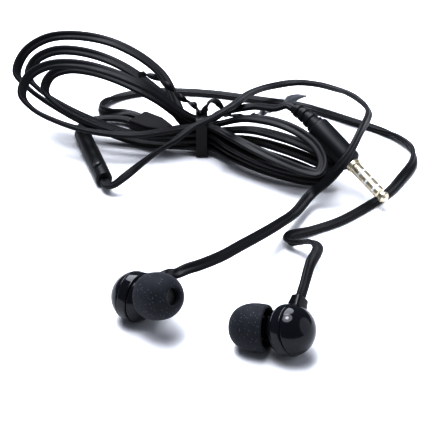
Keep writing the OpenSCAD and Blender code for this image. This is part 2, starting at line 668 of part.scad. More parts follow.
// Twist tie: a band round the waist, and its two tails twisted off the band's top
band_room = 0.4;
band_round = 1.2;
band_half = column + cord_w / 2 + band_room;
band_low = waist[2] - cord_t / 2 - band_room;
band_high = waist_out[2] + cord_t / 2 + 1;
module rounded_box(half, low, high, r) {
  translate([-half + r, low]) square([2 * (half - r), high - low]);
  translate([-half, low + r]) square([2 * half, high - low - 2 * r]);
  for (y = [-half + r, half - r], z = [low + r, high - r]) translate([y, z]) circle(r);
}
module tie_band() {
  color("#17181a") translate([waist[0] - tie_w / 2, waist[1], 0]) rotate([90, 0, 90])
    linear_extrude(tie_w) difference() {
      rounded_box(band_half + tie_t, band_low - tie_t, band_high + tie_t, band_round + tie_t);
      rounded_box(band_half, band_low, band_high, band_round);
    }
}
module tail(route) {
  base = [waist[0], waist[1], band_high + tie_t];
  at = [for (p = route) base + [p[0], p[1], p[2]]];
  tube([for (i = [0 : len(route) - 1])
    let (t = i == 0 ? [0, 0, 1] : heading(at, i), side = unit(cross(t, [0.3, 1, 0])), n = cross(side, t))
    [for (a = [0 : 60 : 300]) at[i] + route[i][3] * (cos(a) * side + sin(a) * n)]]);
}
module tie_tails() {
  color("#17181a") {
    tail(right_tail);
    tail(left_tail);
  }
}

in_bud(true) rear_cap();  // left_rear_cap
in_bud(true) mid_ring();  // left_mid_ring
in_bud(true) front_shell();  // left_front_shell
in_bud(true) nozzle_screen();  // left_nozzle_screen
in_bud(true) eartip();  // left_eartip
in_bud(true) driver_frame();  // left_driver_frame
in_bud(true) magnet();  // left_magnet
in_bud(true) diaphragm();  // left_diaphragm
in_bud(true) solder_board();  // left_solder_board
in_bud(true) strain_relief();  // left_strain_relief
in_bud(false) rear_cap();  // right_rear_cap
in_bud(false) mid_ring();  // right_mid_ring
in_bud(false) front_shell();  // right_front_shell
in_bud(false) nozzle_screen();  // right_nozzle_screen
in_bud(false) eartip();  // right_eartip
in_bud(false) driver_frame();  // right_driver_frame
in_bud(false) magnet();  // right_magnet
in_bud(false) diaphragm();  // right_diaphragm
in_bud(false) solder_board();  // right_solder_board
in_bud(false) strain_relief();  // right_strain_relief
left_ear_cord();
left_lower_cord();
right_ear_cord();
cord_hank();
plug_lead();
y_splitter();
pod_lower_shell();
pod_upper_shell();
pod_near_cap();
pod_far_cap();
pod_circuit_board();
pod_microphone();
pod_button();
plug_body();
plug_strain_relief();
plug_sleeve();
plug_ring(ring_2_at);  // plug_ring_2
plug_ring(ring_1_at);  // plug_ring_1
plug_tip();
plug_insulators();
tie_band();
tie_tails();
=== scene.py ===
import math

import bmesh
import bpy
from mathutils import Matrix, Vector


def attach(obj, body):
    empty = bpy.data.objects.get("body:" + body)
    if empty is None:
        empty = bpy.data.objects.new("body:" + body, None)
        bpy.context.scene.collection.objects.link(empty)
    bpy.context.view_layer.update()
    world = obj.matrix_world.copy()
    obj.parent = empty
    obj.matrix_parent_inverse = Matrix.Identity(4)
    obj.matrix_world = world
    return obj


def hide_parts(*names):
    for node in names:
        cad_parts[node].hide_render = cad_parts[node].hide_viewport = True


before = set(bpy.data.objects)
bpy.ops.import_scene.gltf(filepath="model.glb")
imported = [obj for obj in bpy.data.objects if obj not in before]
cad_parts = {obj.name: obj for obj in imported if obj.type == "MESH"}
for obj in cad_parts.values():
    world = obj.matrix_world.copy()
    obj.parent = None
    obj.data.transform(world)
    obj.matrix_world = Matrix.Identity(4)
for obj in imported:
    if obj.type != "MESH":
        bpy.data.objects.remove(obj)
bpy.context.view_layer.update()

bl_info = {
    "name": "Wired Earphones",
    "version": (1, 0, 0),
    "blender": (4, 5, 0),
    "location": "View3D > Sidebar > Earphones",
    "description": "Builds in-ear headphones with a flat cord, a button pod and a tied hank",
    "category": "Add Mesh",
}

MM = 0.001

# Camera, as a frame and a focal length in pixels
FRAME_PX, FOCAL_PX, SENSOR = 438, 1512, 36
CAMERA_AT, CAMERA_TILT = (.001797, -.311577, .229), 58

# Poses: where each earbud's ring is centred, then its tilt, heading and roll
LEFT_AT, LEFT_TURN = (-.01934, .00664, .00668), (85, -36.3, 17)
RIGHT_AT, RIGHT_TURN = (.01934, -.00852, .00716), (112.7, 146.6, 132.6)
HOUSING_R = 6.6 * MM
RING_W = 2.8 * MM
CAP_DEPTH = 5.2 * MM
FRONT_DEPTH = 4.4 * MM
SHELL_WALL = .9 * MM
SEAM, SEAM_ROUND = .25 * MM, .42 * MM
NOZZLE_ANGLE = 20
NOZZLE_R = 2.5 * MM
NOZZLE_LEN = 7.2 * MM
NOZZLE_WALL = .7 * MM
TIP_R = 6.1 * MM
TIP_LEN = 10 * MM
OPENING_R = 2.2 * MM
RELIEF_H = 2.6 * MM
RELIEF_TURN = 16
LEFT_EXIT_LEAN, RIGHT_EXIT_LEAN = 30, 60
# The collar round each cord, in millimetres: height above the housing, half width and half thickness
COLLAR_TOP = 2.6
COLLAR_STEPS = (
    (-.9, 2.35, 1.95), (.2, 2.35, 1.95), (.6, 2.3, 1.87), (1.2, 2.21, 1.75), (2.2, 2.13, 1.65),
    (2.42, 2.08, 1.6), (2.55, 1.98, 1.5), (COLLAR_TOP, 1.82, 1.35),
)

PLUG_AT, PLUG_RISE, PLUG_HEADING = (.0498, .0591, .0037), 23.5, 132
PLUG_METAL = 15.2 * MM
PLUG_BODY_R, PLUG_BODY_LEN = 3.5 * MM, 16 * MM
PLUG_RELIEF_LEN, PLUG_RIBS, PLUG_BEND = 10 * MM, 4, 22

POD_AT, POD_HEADING, POD_ROLL = (-.032, .0725, .00255), 107, -20
POD_LEN, POD_R = 30 * MM, 2.5 * MM
# The raised dot on the pod's button: along and across the pod, its foot above the pod's wall, and its radius
DOT_ALONG, DOT_ACROSS, DOT_FOOT, DOT_R = 5.55 * MM, -.35 * MM, .33 * MM, .6 * MM

SPLITTER_AT, SPLITTER_HEADING = (-.014, .1035, 0), -38
SPLITTER_LEN, SPLITTER_W, SPLITTER_T = 13 * MM, 8.4 * MM, 3.4 * MM

# Hank: the waist's lowest strand, the planes of the loops at each end, and a row for each loop
WAIST = Vector((-.0035, .094, .0017))
LOOPS = 4
STRAND_GAP, WAIST_ROOM = .55 * MM, .5 * MM
BEYOND_TIE, STAGGER = 1.1 * MM, .5 * MM
TIE_W, TIE_T, TIE_ROOM = 3.4 * MM, .6 * MM, 1 * MM
ARC_STEPS = 11
LEFT_LEAN, LEFT_LEAN_RISE, RIGHT_LEAN = 45, 60, 100
# A plane: its heading, rise and tilt, the lean of the loops' lower halves, the gap between loops and the middle row
LEFT_PLANE = (165, 13, 50, 50, .0036, 2)
RIGHT_PLANE = (-31, -1, 0, 0, .0005, 0)
# A loop: its reach, turn and lean, then its bulge above and below the plane, each with its pinch at the waist
LEFT_LOOPS = (
    (.061, 5, 50, .025, .36, .009, .4), (.055, 3, 50, .02, .65, .008, .4),
    (.047, -2, 34, .023, 1.5, .0095, .4), (.052, -8, 50, .028, 1.5, .012, .4),
)
RIGHT_LOOPS = (
    (.038, 0, 15, .003, .35, .005, .5), (.042, 0, 20, .0045, .35, .008, .5),
    (.041, 0, 25, .006, .4, .011, .5), (.043, -11.5, 62, .015, .8, .004, .45),
)

# Cord routes: x, y, z and the lean of the flat face, 0 lying flat and 90 on edge
LEFT_EAR_ROUTE = (
    (-.0091, .013, .0096, 35), (-.0065, .014, .0103, 40), (-.0031, .0155, .0106, 45),
    (.0021, .0193, .0106, 45), (.0079, .0262, .0098, 40), (.014, .035, .008, 30), (.019, .0435, .006, 20),
    (.0235, .053, .0035, 10), (.0285, .0615, .0045, 20), (.0325, .0615, .0085, 40),
    (.0365, .062, .0135, 65), (.0395, .0655, .0165, 82), (.0423, .0707, .0193, 85),
    (.0454, .0804, .019, 75), (.0462, .086, .0182, 60), (.0457, .091, .0173, 45),
    (.0446, .0966, .0162, 30), (.0422, .105, .0142, 20), (.0395, .114, .011, 10),
    (.033, .126, .007, 5), (.0265, .131, .005, 0), (.019, .1275, .0055, 0), (.012, .113, .0106, 5),
    (.0065, .0955, .0156, 10), (0, .0815, .0185, 20), (-.006, .0755, .0185, 20),
    (-.0115, .0715, .016, 20), (-.017, .0715, .012, 10), (-.0225, .071, .0075, 5),
    (-.0265, .069, .005, 0), (-.029, .0685, .0033, 0),
)
RIGHT_EAR_ROUTE = (
    (.025, .009, .015, 50), (.027, .017, .013, 30), (.028, .025, .01, 20), (.027, .032, .007, 20),
    (.025, .0365, .004, 20), (.021, .04, .002, 60), (.0215, .043, .0019, 20), (.028, .0475, .001, 0),
    (.036, .0525, .0008, 0), (.044, .06, .0007, 0), (.0515, .0685, .0007, 0),
    (.056, .076, .0011, 20), (.0605, .085, .0017, 60), (.061, .092, .0018, 80),
    (.058, .0995, .0017, 50), (.052, .1065, .001, 10), (.044, .112, .001, 0), (.036, .1175, .001, 0),
    (.028, .1225, .001, 0), (.019, .1255, .001, 0), (.009, .1285, .001, 0), (0, .131, .001, 0),
    (-.011, .1325, .001, 0), (-.021, .1325, .001, 0), (-.0305, .129, .001, 0),
    (-.0355, .1235, .0017, 60), (-.036, .1185, .0018, 85), (-.0325, .1158, .0018, 60),
    (-.028, .116, .0017, 10),
)
LEFT_LOWER_ROUTE = ((-.0415, .1065, .0018, 0), (-.039, .1105, .0018, 0), (-.0335, .1124, .0018, 0))
PLUG_LEAD_ROUTE = ((.019, .0905, .017, 10), (.0155, .0947, .0151, 10), (.0125, .0978, .0137, 5))
HANK_OUT_ROUTE = ((.002, .0975, .0113, 0), (.0055, .0989, .0119, 0))
HANK_IN_ROUTE = ((-.0078, .0975, .0017, 0),)

# Tails of the twist tie from the top of its band: x, y, z and the lean of the flat face
RIGHT_TAIL = (
    (.0007, 0, 0, 0), (.0008, .0003, .001, 0), (.0014, .0007, .0019, 0), (.0026, .0031, .0027, 0),
    (.0044, .0041, .0023, 0), (.0059, .0047, .0001, 0), (.0068, .0055, -.0024, 0), (.0105, .0074, -.0046, 0),
    (.0149, .0074, -.0046, 0), (.0165, .0073, -.0041, 0),
)
# The right tail's end, coloured pale grey as painted sheen
SHEEN_TAIL = (
    (.0162, .0073, -.0042, 50), (.0183, .0072, -.0033, 50), (.0206, .0056, -.0014, 50), (.023, .0035, .0006, 50),
    (.0253, .0016, .0026, 55), (.027, .0007, .0046, 55), (.0291, -.0002, .0061, 50), (.0314, -.0015, .0071, 45),
)
LEFT_TAIL = (
    (-.0007, 0, 0, 0), (-.0008, 0, .001, 0), (-.002, .002, .002, 0),
    (-.004, .0043, .0022, 0), (-.0065, .0057, .003, 0), (-.0105, .0073, .0062, 0),
    (-.0145, .009, .0082, 0), (-.017, .009, .0089, 0), (-.0188, .0078, .0095, 0),
)


# ---- Colours and materials

def srgb(text):
    """Turns an sRGB hex colour such as "#2b2c30" into linear red, green and blue."""
    parts = [int(text[i:i + 2], 16) / 255 for i in (1, 3, 5)]
    return tuple(c / 12.92 if c <= .04045 else ((c + .055) / 1.055) ** 2.4 for c in parts)


def node(tree, kind, settings=None, inputs=None, stops=(), to=None):
    """Adds a shader node. settings are its properties, inputs are values or sockets to link, stops are
    the position and colour of each end of a colour ramp, and to is a socket that it feeds."""
    made = tree.nodes.new(kind)
    for key, value in (settings or {}).items():
        setattr(made, key, value)
    for key, value in (inputs or {}).items():
        if isinstance(value, bpy.types.NodeSocket):
            tree.links.new(value, made.inputs[key])
        else:
            made.inputs[key].default_value = value
    for n, (position, colour) in enumerate(stops):
        made.color_ramp.elements[n].position = position
        made.color_ramp.elements[n].color = (*colour, 1)
    if to is not None:
        tree.links.new(made.outputs[0], to)
    return made


def finish_named(name):
    """Starts a material: returns it, its tree, its surface shader's sockets and the object's coordinates."""
    made = bpy.data.materials.new(name)
    made.use_nodes = True
    tree = made.node_tree
    place = node(tree, "ShaderNodeTexCoord").outputs["Object"]
    return made, tree, tree.nodes["Principled BSDF"].inputs, place


def set_surface(surface, **values):
    """Sets values that are the same all over on the shader's own sockets."""
    for key, value in values.items():
        surface[key.replace("_", " ").title().replace("Ior", "IOR")].default_value = value


def mottle(tree, place, scale, detail, stops, to=None, roughness=.5):
    """Adds a colour or value that drifts over the surface between two stops, and feeds it to a socket."""
    noise = {"Vector": place, "Scale": scale, "Detail": detail, "Roughness": roughness}
    drift = node(tree, "ShaderNodeTexNoise", inputs=noise).outputs["Fac"]
    return node(tree, "ShaderNodeValToRGB", inputs={"Fac": drift}, stops=stops, to=to).outputs["Color"]


def grain(tree, place, scale, strength, depth, to):
    """Feeds a socket the fine bumps of a moulded or rubbed surface."""
    height = node(tree, "ShaderNodeTexNoise", inputs={"Vector": place, "Scale": scale, "Detail": 2}).outputs["Fac"]
    node(tree, "ShaderNodeBump", inputs={"Height": height, "Strength": strength, "Distance": depth}, to=to)


def cord_jacket():
    """Extruded TPE jacket: satin, with faint draw lines along it and a bloom in patches about 11 mm across."""
    made, tree, surface, place = finish_named("Extruded TPE cord jacket")
    along = node(tree, "ShaderNodeUVMap", {"uv_map": "along"}).outputs["UV"]
    # The die's lines run on for centimetres; they and the grain are drawn at 0.3 and 0.2 mm, coarse enough to show
    lines = node(tree, "ShaderNodeMapping", inputs={"Vector": along, "Scale": (3500, 45, 1)}).outputs["Vector"]
    draw = node(tree, "ShaderNodeTexNoise", inputs={"Vector": lines, "Scale": 1, "Detail": 2}).outputs["Fac"]
    # One bloom drives colour and roughness
    mottle(tree, place, 90, 4, ((.3, srgb("#0b0d13")), (.7, srgb("#12141b"))), surface["Base Color"])
    mottle(tree, place, 90, 4, ((.3, (.44,) * 3), (.7, (.58,) * 3)), surface["Roughness"])
    fine = node(tree, "ShaderNodeTexNoise", inputs={"Vector": place, "Scale": 5000, "Detail": 2}).outputs["Fac"]
    bump = node(tree, "ShaderNodeBump", inputs={"Height": draw, "Strength": .15, "Distance": .00012})
    finer = {"Height": fine, "Strength": .12, "Distance": .00004, "Normal": bump.outputs["Normal"]}
    node(tree, "ShaderNodeBump", inputs=finer, to=surface["Normal"])
    set_surface(surface, ior=1.5, specular_ior_level=.5)
    return made


def silicone():
    """Moulded silicone rubber: matt, with a soft sheen, and dust that it picks up in fine specks."""
    made, tree, surface, place = finish_named("Moulded silicone")
    cells = node(tree, "ShaderNodeTexVoronoi", inputs={"Vector": place, "Scale": 2600, "Randomness": 1})
    keep = node(tree, "ShaderNodeSeparateColor", inputs={"Color": cells.outputs["Color"]}).outputs["Red"]
    # A speck is about 0.2 mm across, on one cell in five; the mould's grain is drawn as coarse as that to show
    near = {0: cells.outputs["Distance"], 1: .26}
    speck = node(tree, "ShaderNodeMath", {"operation": "LESS_THAN"}, near).outputs[0]
    some = node(tree, "ShaderNodeMath", {"operation": "GREATER_THAN"}, {0: keep, 1: .8}).outputs[0]
    dust = node(tree, "ShaderNodeMath", {"operation": "MULTIPLY"}, {0: speck, 1: some}).outputs[0]
    stops = (.32, srgb("#292b32")), (.72, srgb("#34373f"))
    dusted = {"Factor": dust, "A": mottle(tree, place, 260, 5, stops, roughness=.65), "B": (*srgb("#7e7f84"), 1)}
    mixed = node(tree, "ShaderNodeMix", {"data_type": "RGBA"}, dusted)
    tree.links.new(mixed.outputs["Result"], surface["Base Color"])
    grain(tree, place, 3800, .25, .00005, surface["Normal"])
    set_surface(surface, roughness=.72, ior=1.41, sheen_weight=.08, sheen_roughness=.5)
    return made


def gloss_housing():
    """High-gloss moulded ABS: a deep black that mirrors the studio, dulled by touch in patches of 2 mm, with its
    colour lifted a little to blue-grey as painted reflection.
    """
    made, tree, surface, place = finish_named("High-gloss moulded ABS")
    mottle(tree, place, 420, 3, ((.4, (.08,) * 3), (.75, (.14,) * 3)), surface["Roughness"])
    # Base colour: the plastic's black, lifted a little to blue-grey as painted reflection of the broad studio
    # surroundings
    mottle(tree, place, 120, 1, ((.3, srgb("#1b1d24")), (.7, srgb("#21232b"))), surface["Base Color"])
    set_surface(surface, ior=1.5)
    return made


def satin_moulding(name, low, high, roughness, grit=2500, depth=.00005):
    """Injection-moulded ABS or TPE with a spark-eroded grain, which breaks its highlights softly. The real
    grain is under 0.1 mm, too fine to show, so it is drawn at about 0.4 mm or coarser."""
    made, tree, surface, place = finish_named(name)
    mottle(tree, place, 150, 3, ((.3, low), (.7, high)), surface["Base Color"])
    grain(tree, place, grit, .2, depth, surface["Normal"])
    set_surface(surface, roughness=roughness, ior=1.5)
    return made


def plated_metal(name, low, high, roughness):
    """Plated metal, turned and polished until its turning marks don't show, with rubbed patches of 1 mm."""
    made, tree, surface, place = finish_named(name)
    mottle(tree, place, 300, 3, ((.3, low), (.7, high)), surface["Base Color"])
    rubbed = (.3, (roughness * .7,) * 3), (.7, (roughness * 1.5,) * 3)
    mottle(tree, place, 900, 2, rubbed, surface["Roughness"])
    set_surface(surface, metallic=1)
    return made


def woven_screen():
    """Woven steel mesh: wires about 0.16 mm apart, drawn as ridges, with the holes between painted dark as shade of
    the bore behind.
    """
    made, tree, surface, place = finish_named("Woven steel mesh")
    slanted = node(tree, "ShaderNodeMapping", inputs={"Vector": place, "Rotation": (.5, .4, .6)}).outputs["Vector"]
    bands = {"Vector": slanted, "Scale": 1900}
    waves = [node(tree, "ShaderNodeTexWave", {"bands_direction": axis}, bands).outputs["Fac"] for axis in "XY"]
    holes = node(tree, "ShaderNodeMath", {"operation": "MAXIMUM"}, dict(enumerate(waves))).outputs[0]
    # The holes are painted dark: painted shade of the bore seen through the mesh
    stops = (.35, srgb("#151616")), (.8, srgb("#7c807e"))
    node(tree, "ShaderNodeValToRGB", inputs={"Fac": holes}, stops=stops, to=surface["Base Color"])
    node(tree, "ShaderNodeBump", inputs={"Height": holes, "Strength": .6, "Distance": .00006}, to=surface["Normal"])
    set_surface(surface, metallic=.7, roughness=.4)
    return made


def paper_white():
    """Painted studio floor: a plain white with the faintest mottling."""
    made, tree, surface, place = finish_named("Matt white floor")
    mottle(tree, place, 6, 2, ((.3, srgb("#fafafc")), (.7, srgb("#fdfdfe"))), surface["Base Color"])
    set_surface(surface, roughness=.9, specular_ior_level=.1)
    return made


# ---- Shapes

def turn_by(angle, axis):
    """A turn by an angle in degrees."""
    return Matrix.Rotation(math.radians(angle), 4, axis)


def bud_matrix(left):
    """Places an earbud's own axes, with its nozzle along +Z; the left one is mirrored."""
    at, turn = (LEFT_AT, LEFT_TURN) if left else (RIGHT_AT, RIGHT_TURN)
    tilt, heading, roll = turn
    made = Matrix.Translation(at) @ turn_by(heading, "Z") @ turn_by(tilt, "Y") @ turn_by(roll, "Z")
    return made @ Matrix.Scale(-1, 4, (1, 0, 0)) if left else made


def dome_radius(depth):
    """Radius of the sphere whose cap of this depth meets the housing's ring."""
    base = HOUSING_R - SEAM / 2
    return (depth ** 2 + base ** 2) / (2 * depth)


def front_centre():
    """Height of the centre of the front shell's sphere above the middle of the ring."""
    return RING_W / 2 + FRONT_DEPTH - dome_radius(FRONT_DEPTH)


def nozzle_matrix(left):
    """Places a nozzle's own axes: it leans away from the earbud's, about the front shell's centre."""
    return bud_matrix(left) @ Matrix.Translation((0, 0, front_centre())) @ turn_by(NOZZLE_ANGLE, "Y")


def plug_matrix():
    """Places the plug's own axes: +Z runs from its tip to its cord."""
    return Matrix.Translation(PLUG_AT) @ turn_by(PLUG_HEADING, "Z") @ turn_by(90 - PLUG_RISE, "Y")


def pod_matrix():
    """Places the pod's own axes: +X runs along it and +Z to its button."""
    return Matrix.Translation(POD_AT) @ turn_by(POD_HEADING, "Z") @ turn_by(POD_ROLL, "X")


def dress(material, *names):
    """Gives CAD nodes a material."""
    for name in names:
        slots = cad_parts[name].data.materials
        slots.clear()
        slots.append(material)


def link_mesh(name, mesh_maker, material, body="earphones", sharp=32, replaces=()):
    """Ends a piece: its bmesh becomes a shaded object that rides on a body."""
    mesh = bpy.data.meshes.new(name)
    bmesh.ops.recalc_face_normals(mesh_maker, faces=mesh_maker.faces)
    mesh_maker.to_mesh(mesh)
    mesh_maker.free()
    mesh.shade_smooth()
    mesh.set_sharp_from_angle(angle=math.radians(sharp))
    mesh.materials.append(material)
    made = bpy.data.objects.new(name, mesh)
    bpy.context.scene.collection.objects.link(made)
    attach(made, body)
    if replaces:
        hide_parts(*replaces)
    return made


def turned(profile, matrix, steps=96, closed=True, made=None):
    """A turned shape, new or added to another: an outline of (radius, height) spun a full turn."""
    made = made or bmesh.new()
    before = set(made.verts)
    points = [made.verts.new((r, 0, h)) for r, h in profile]
    pairs = list(zip(points, points[1:])) + ([(points[-1], points[0])] if closed else [])
    edges = [made.edges.new(p) for p in pairs]
    bmesh.ops.spin(made, geom=points + edges, axis=(0, 0, 1), cent=(0, 0, 0), angle=2 * math.pi,
                   steps=steps, use_merge=True)
    bmesh.ops.remove_doubles(made, verts=[v for v in made.verts if v not in before], dist=1e-7)
    bmesh.ops.dissolve_degenerate(made, edges=made.edges, dist=1e-7)
    bmesh.ops.transform(made, matrix=matrix, verts=[v for v in made.verts if v not in before])
    return made


def arc(centre, radius, start, end, steps):
    """Points (radius, height) on a circle centred on the axis, from start to end in degrees from it."""
    angles = [math.radians(start + (end - start) * i / steps) for i in range(steps + 1)]
    return [(radius * math.sin(a), centre + radius * math.cos(a)) for a in angles]


def rolled(r, start, end, steps=7):
    """Points (radius, height) of an edge that rolls over from height start in to height end."""
    angles = [math.pi / 2 * i / steps for i in range(steps + 1)]
    return [(r - SEAM_ROUND * (1 - math.cos(a)), start + (end - start) * math.sin(a)) for a in angles]


def face_dir(travel, lean):
    """The flat face's normal: straight up, then leaned over to the right of the travel."""
    up = (Vector((0, 0, 1)) - travel[2] * travel).normalized()
    side = travel.cross(up)
    return math.cos(math.radians(lean)) * up + math.sin(math.radians(lean)) * side


def route_points(route):
    """A route's rows as pairs of a point and a lean."""
    return [(Vector(p[:3]), p[3]) for p in route]


def between(p, q, start, end, t):
    """The point at t on the line that passes p at start and q at end."""
    return (end - t) / (end - start) * p + (t - start) / (end - start) * q


def smooth_route(points, spacing):
    """A curve through the route's points, at even steps: centripetal, so it never overshoots."""
    at = [p for p, _ in points]
    at = [2 * at[0] - at[1]] + at + [2 * at[-1] - at[-2]]
    lean = [a for _, a in points]
    dense = []
    for i in range(1, len(at) - 2):
        a, b, c, d = at[i - 1:i + 3]
        t0 = 0
        t1 = max((b - a).length, 1e-6) ** .5
        t2 = t1 + max((c - b).length, 1e-6) ** .5
        t3 = t2 + max((d - c).length, 1e-6) ** .5
        steps = max(2, math.ceil((c - b).length / (spacing * .25)))
        for k in range(steps):
            t = t1 + (t2 - t1) * k / steps
            a1, a2, a3 = between(a, b, t0, t1, t), between(b, c, t1, t2, t), between(c, d, t2, t3, t)
            b1, b2 = between(a1, a2, t0, t2, t), between(a2, a3, t1, t3, t)
            f = k / steps
            ease = f * f * (3 - 2 * f)
            dense.append((between(b1, b2, t1, t2, t), lean[i - 1] + (lean[i] - lean[i - 1]) * ease))
    dense.append((at[-2], lean[-1]))
    total = sum((q[0] - p[0]).length for p, q in zip(dense, dense[1:]))
    count = max(4, round(total / spacing))
    even, run, want = [dense[0]], 0, total / count
    for p, q in zip(dense, dense[1:]):
        step = (q[0] - p[0]).length
        while step > 0 and run + step >= want * len(even) and len(even) < count:
            f = (want * len(even) - run) / step
            even.append((p[0].lerp(q[0], f), p[1] + (q[1] - p[1]) * f))
        run += step
    even.append(dense[-1])
    return even, total


def strip_frames(points):
    """The travel and the flat face's normal at each point, smoothed along the strip."""
    at = [p for p, _ in points]
    travel = [(at[min(i + 1, len(at) - 1)] - at[max(i - 1, 0)]).normalized() for i in range(len(at))]
    normal = [face_dir(t, points[i][1]) for i, t in enumerate(travel)]
    for _ in range(6):
        inner = [p + 2 * q + r for p, q, r in zip(normal, normal[1:], normal[2:])]
        mean = [normal[0]] + inner + [normal[-1]]
        normal = [(m - m.dot(t) * t).normalized() for m, t in zip(mean, travel)]
    return travel, normal


def cord_section(sizes):
    """Outline of the flat cord: rounded edges and a shallow groove down the middle of each face."""
    w, t = sizes.cord_width / 2, sizes.cord_thickness / 2
    g, d = sizes.groove_width / 2, sizes.groove_depth
    right = [(w, 0), (w * .985, t * .4), (w * .93, t * .75), (w * .82, t * .95), (w * .7, t), (w * .45, t),
             (g * 1.5, t - d * .15), (g * .7, t - d * .75)]
    top = right + [(0, t - d)] + [(-x, y) for x, y in right[:0:-1]]
    return top + [(-x, -y) for x, y in top]


def sweep(points, section, scale_at=None, turn_at=None):
    """A closed tube: the section carried along the points, with the cord's own coordinates."""
    travel, normal = strip_frames(points)
    made = bmesh.new()
    along = made.loops.layers.uv.new("along")
    rings, run, runs = [], 0, []
    for i, (p, _) in enumerate(points):
        run += (p - points[i - 1][0]).length if i else 0
        runs.append(run)
        side, face = travel[i].cross(normal[i]), normal[i]
        if turn_at:
            spin = Matrix.Rotation(turn_at(i, run), 3, travel[i])
            side, face = spin @ side, spin @ face
        k = scale_at(i, run) if scale_at else (1, 1)
        rings.append([made.verts.new(p + x * k[0] * side + y * k[1] * face) for x, y in section])
    count, girth = len(section), [0]
    for a, b in zip(section, section[1:] + section[:1]):
        girth.append(girth[-1] + math.dist(a, b))
    for i in range(len(rings) - 1):
        for j in range(count):
            k = (j + 1) % count
            face = made.faces.new((rings[i][j], rings[i][k], rings[i + 1][k], rings[i + 1][j]))
            a, b = girth[j:j + 2]
            for loop, uv in zip(face.loops, ((a, runs[i]), (b, runs[i]), (b, runs[i + 1]), (a, runs[i + 1]))):
                loop[along].uv = uv
    for ring in (rings[0], rings[-1]):
        made.faces.new(ring)
    return made


# ---- The hank's loops, by the same rules as its solid

def plane_axis(plane):
    """Direction in which a set of loops reaches out, from its heading and rise."""
    a, b = math.radians(plane[0]), math.radians(plane[1])
    return Vector((math.cos(a) * math.cos(b), math.sin(a) * math.cos(b), math.sin(b)))


def leaned(plane, lean):
    """The direction across a set of loops that leans this far from upright."""
    axis, a = plane_axis(plane), math.radians(lean)
    up = Vector((0, math.cos(a), math.sin(a)))
    return (up - up.dot(axis) * axis).normalized()


def eased(c, pinch):
    """Nearly 1 or -1, but easing through 0, so that strands gather at the waist."""
    return c / math.sqrt(c * c + pinch * pinch)


def lobe(plane, loop, row, c, s):
    """A point of a loop from its waist, where c and s are the cosine and sine round the loop."""
    _, _, tilt, lower_lean, gap, middle = plane
    reach, turn, lean, above, pinch_above, below, pinch_below = loop
    swing, tilted = math.radians(turn), leaned(plane, tilt)
    axis = math.cos(swing) * plane_axis(plane) + math.sin(swing) * tilted
    up = leaned(plane, lower_lean + (lean - lower_lean) * (1 + s) / 2)
    out = above * eased(c, pinch_above) if s > 0 else below * eased(c, pinch_below)
    across = plane_axis(plane).cross(tilted)
    across = -across if across[2] < 0 else across
    return (reach * c * axis + out * abs(s) ** .8 * math.copysign(1, s) * up
            + gap * (row - middle) * eased(c, .15) * across)


def strand_pitch(sizes):
    """Height from one strand to the next at the waist."""
    return sizes.cord_thickness + STRAND_GAP + WAIST_ROOM


def hank_points(sizes):
    """The folded cord: each loop runs round the right end and then the left, climbing steadily."""
    pitch = strand_pitch(sizes)
    column = (sizes.cord_width + STRAND_GAP) / 2
    half = TIE_W / 2 + BEYOND_TIE

    def waist_end(k, s, row):
        """A strand's end at the waist: right after an even half loop, left after an odd one."""
        return WAIST + Vector(((half if k % 2 == 0 else -half) + STAGGER * s, column * s, pitch * row))

    start = Vector(SPLITTER_AT) + Vector((0, 0, SPLITTER_T / 2))
    points = [(start, 0), (start + sizes.cord_width * heading_dir(SPLITTER_HEADING), 0)]
    points += route_points(HANK_IN_ROUTE) + [(waist_end(1, 1, 0), 0)]
    for k in range(2 * LOOPS):
        for i in range(ARC_STEPS + 1):
            a = 90 + 180 * (k + i / ARC_STEPS)
            c = 0 if i % ARC_STEPS == 0 else math.cos(math.radians(a))
            s = math.sin(math.radians(a))
            row = (a - 90) / 360
            n = min(LOOPS - 1, int((a if k % 2 == 0 else a - 180) // 360))
            if k % 2 == 0:
                shape, lean = lobe(RIGHT_PLANE, RIGHT_LOOPS[n], row, -c, s), RIGHT_LEAN * s
            else:
                shape = lobe(LEFT_PLANE, LEFT_LOOPS[max(0, n)], row, c, s)
                lean = LEFT_LEAN + LEFT_LEAN_RISE * max(s, 0)
            points.append((waist_end(k, s, row) + shape, lean * c * c))
    points.append((waist_end(0, 1, LOOPS), 0))
    return points + route_points(HANK_OUT_ROUTE)


def bud_exit(left, sizes):
    """The two points where an ear cord leaves its strain relief."""
    m, turn, lean = bud_matrix(left), turn_by(RELIEF_TURN, "Z"), LEFT_EXIT_LEAN if left else RIGHT_EXIT_LEAN
    return [(m @ (turn @ Vector((0, HOUSING_R + RELIEF_H + y, 0))), lean) for y in (0, sizes.cord_width)]


def heading_dir(angle):
    """Level direction at an angle from +X."""
    return Vector((math.cos(math.radians(angle)), math.sin(math.radians(angle)), 0))


def inlet(sign, sizes):
    """The two points where an ear cord enters the splitter."""
    ahead = heading_dir(SPLITTER_HEADING)
    aside = heading_dir(SPLITTER_HEADING + 90)
    back = Vector(SPLITTER_AT) - SPLITTER_LEN * ahead + Vector((0, 0, SPLITTER_T / 2))
    step = (SPLITTER_W - sizes.cord_width) / 2 - .7 * MM
    return [(back + sign * step * aside - y * ahead, 0) for y in (sizes.cord_width, 0)]


def plug_relief_points():
    """Centre line of the plug's strain relief, which turns down a little at each rib."""
    m = plug_matrix()
    place, points = Vector((0, 0, PLUG_METAL + PLUG_BODY_LEN)), []
    for n in range(PLUG_RIBS):
        points.append(m @ place)
        a = math.radians(PLUG_BEND / (PLUG_RIBS - 1) * n)
        place = place + PLUG_RELIEF_LEN / PLUG_RIBS * Vector((math.sin(a), 0, math.cos(a)))
    return points + [m @ place]


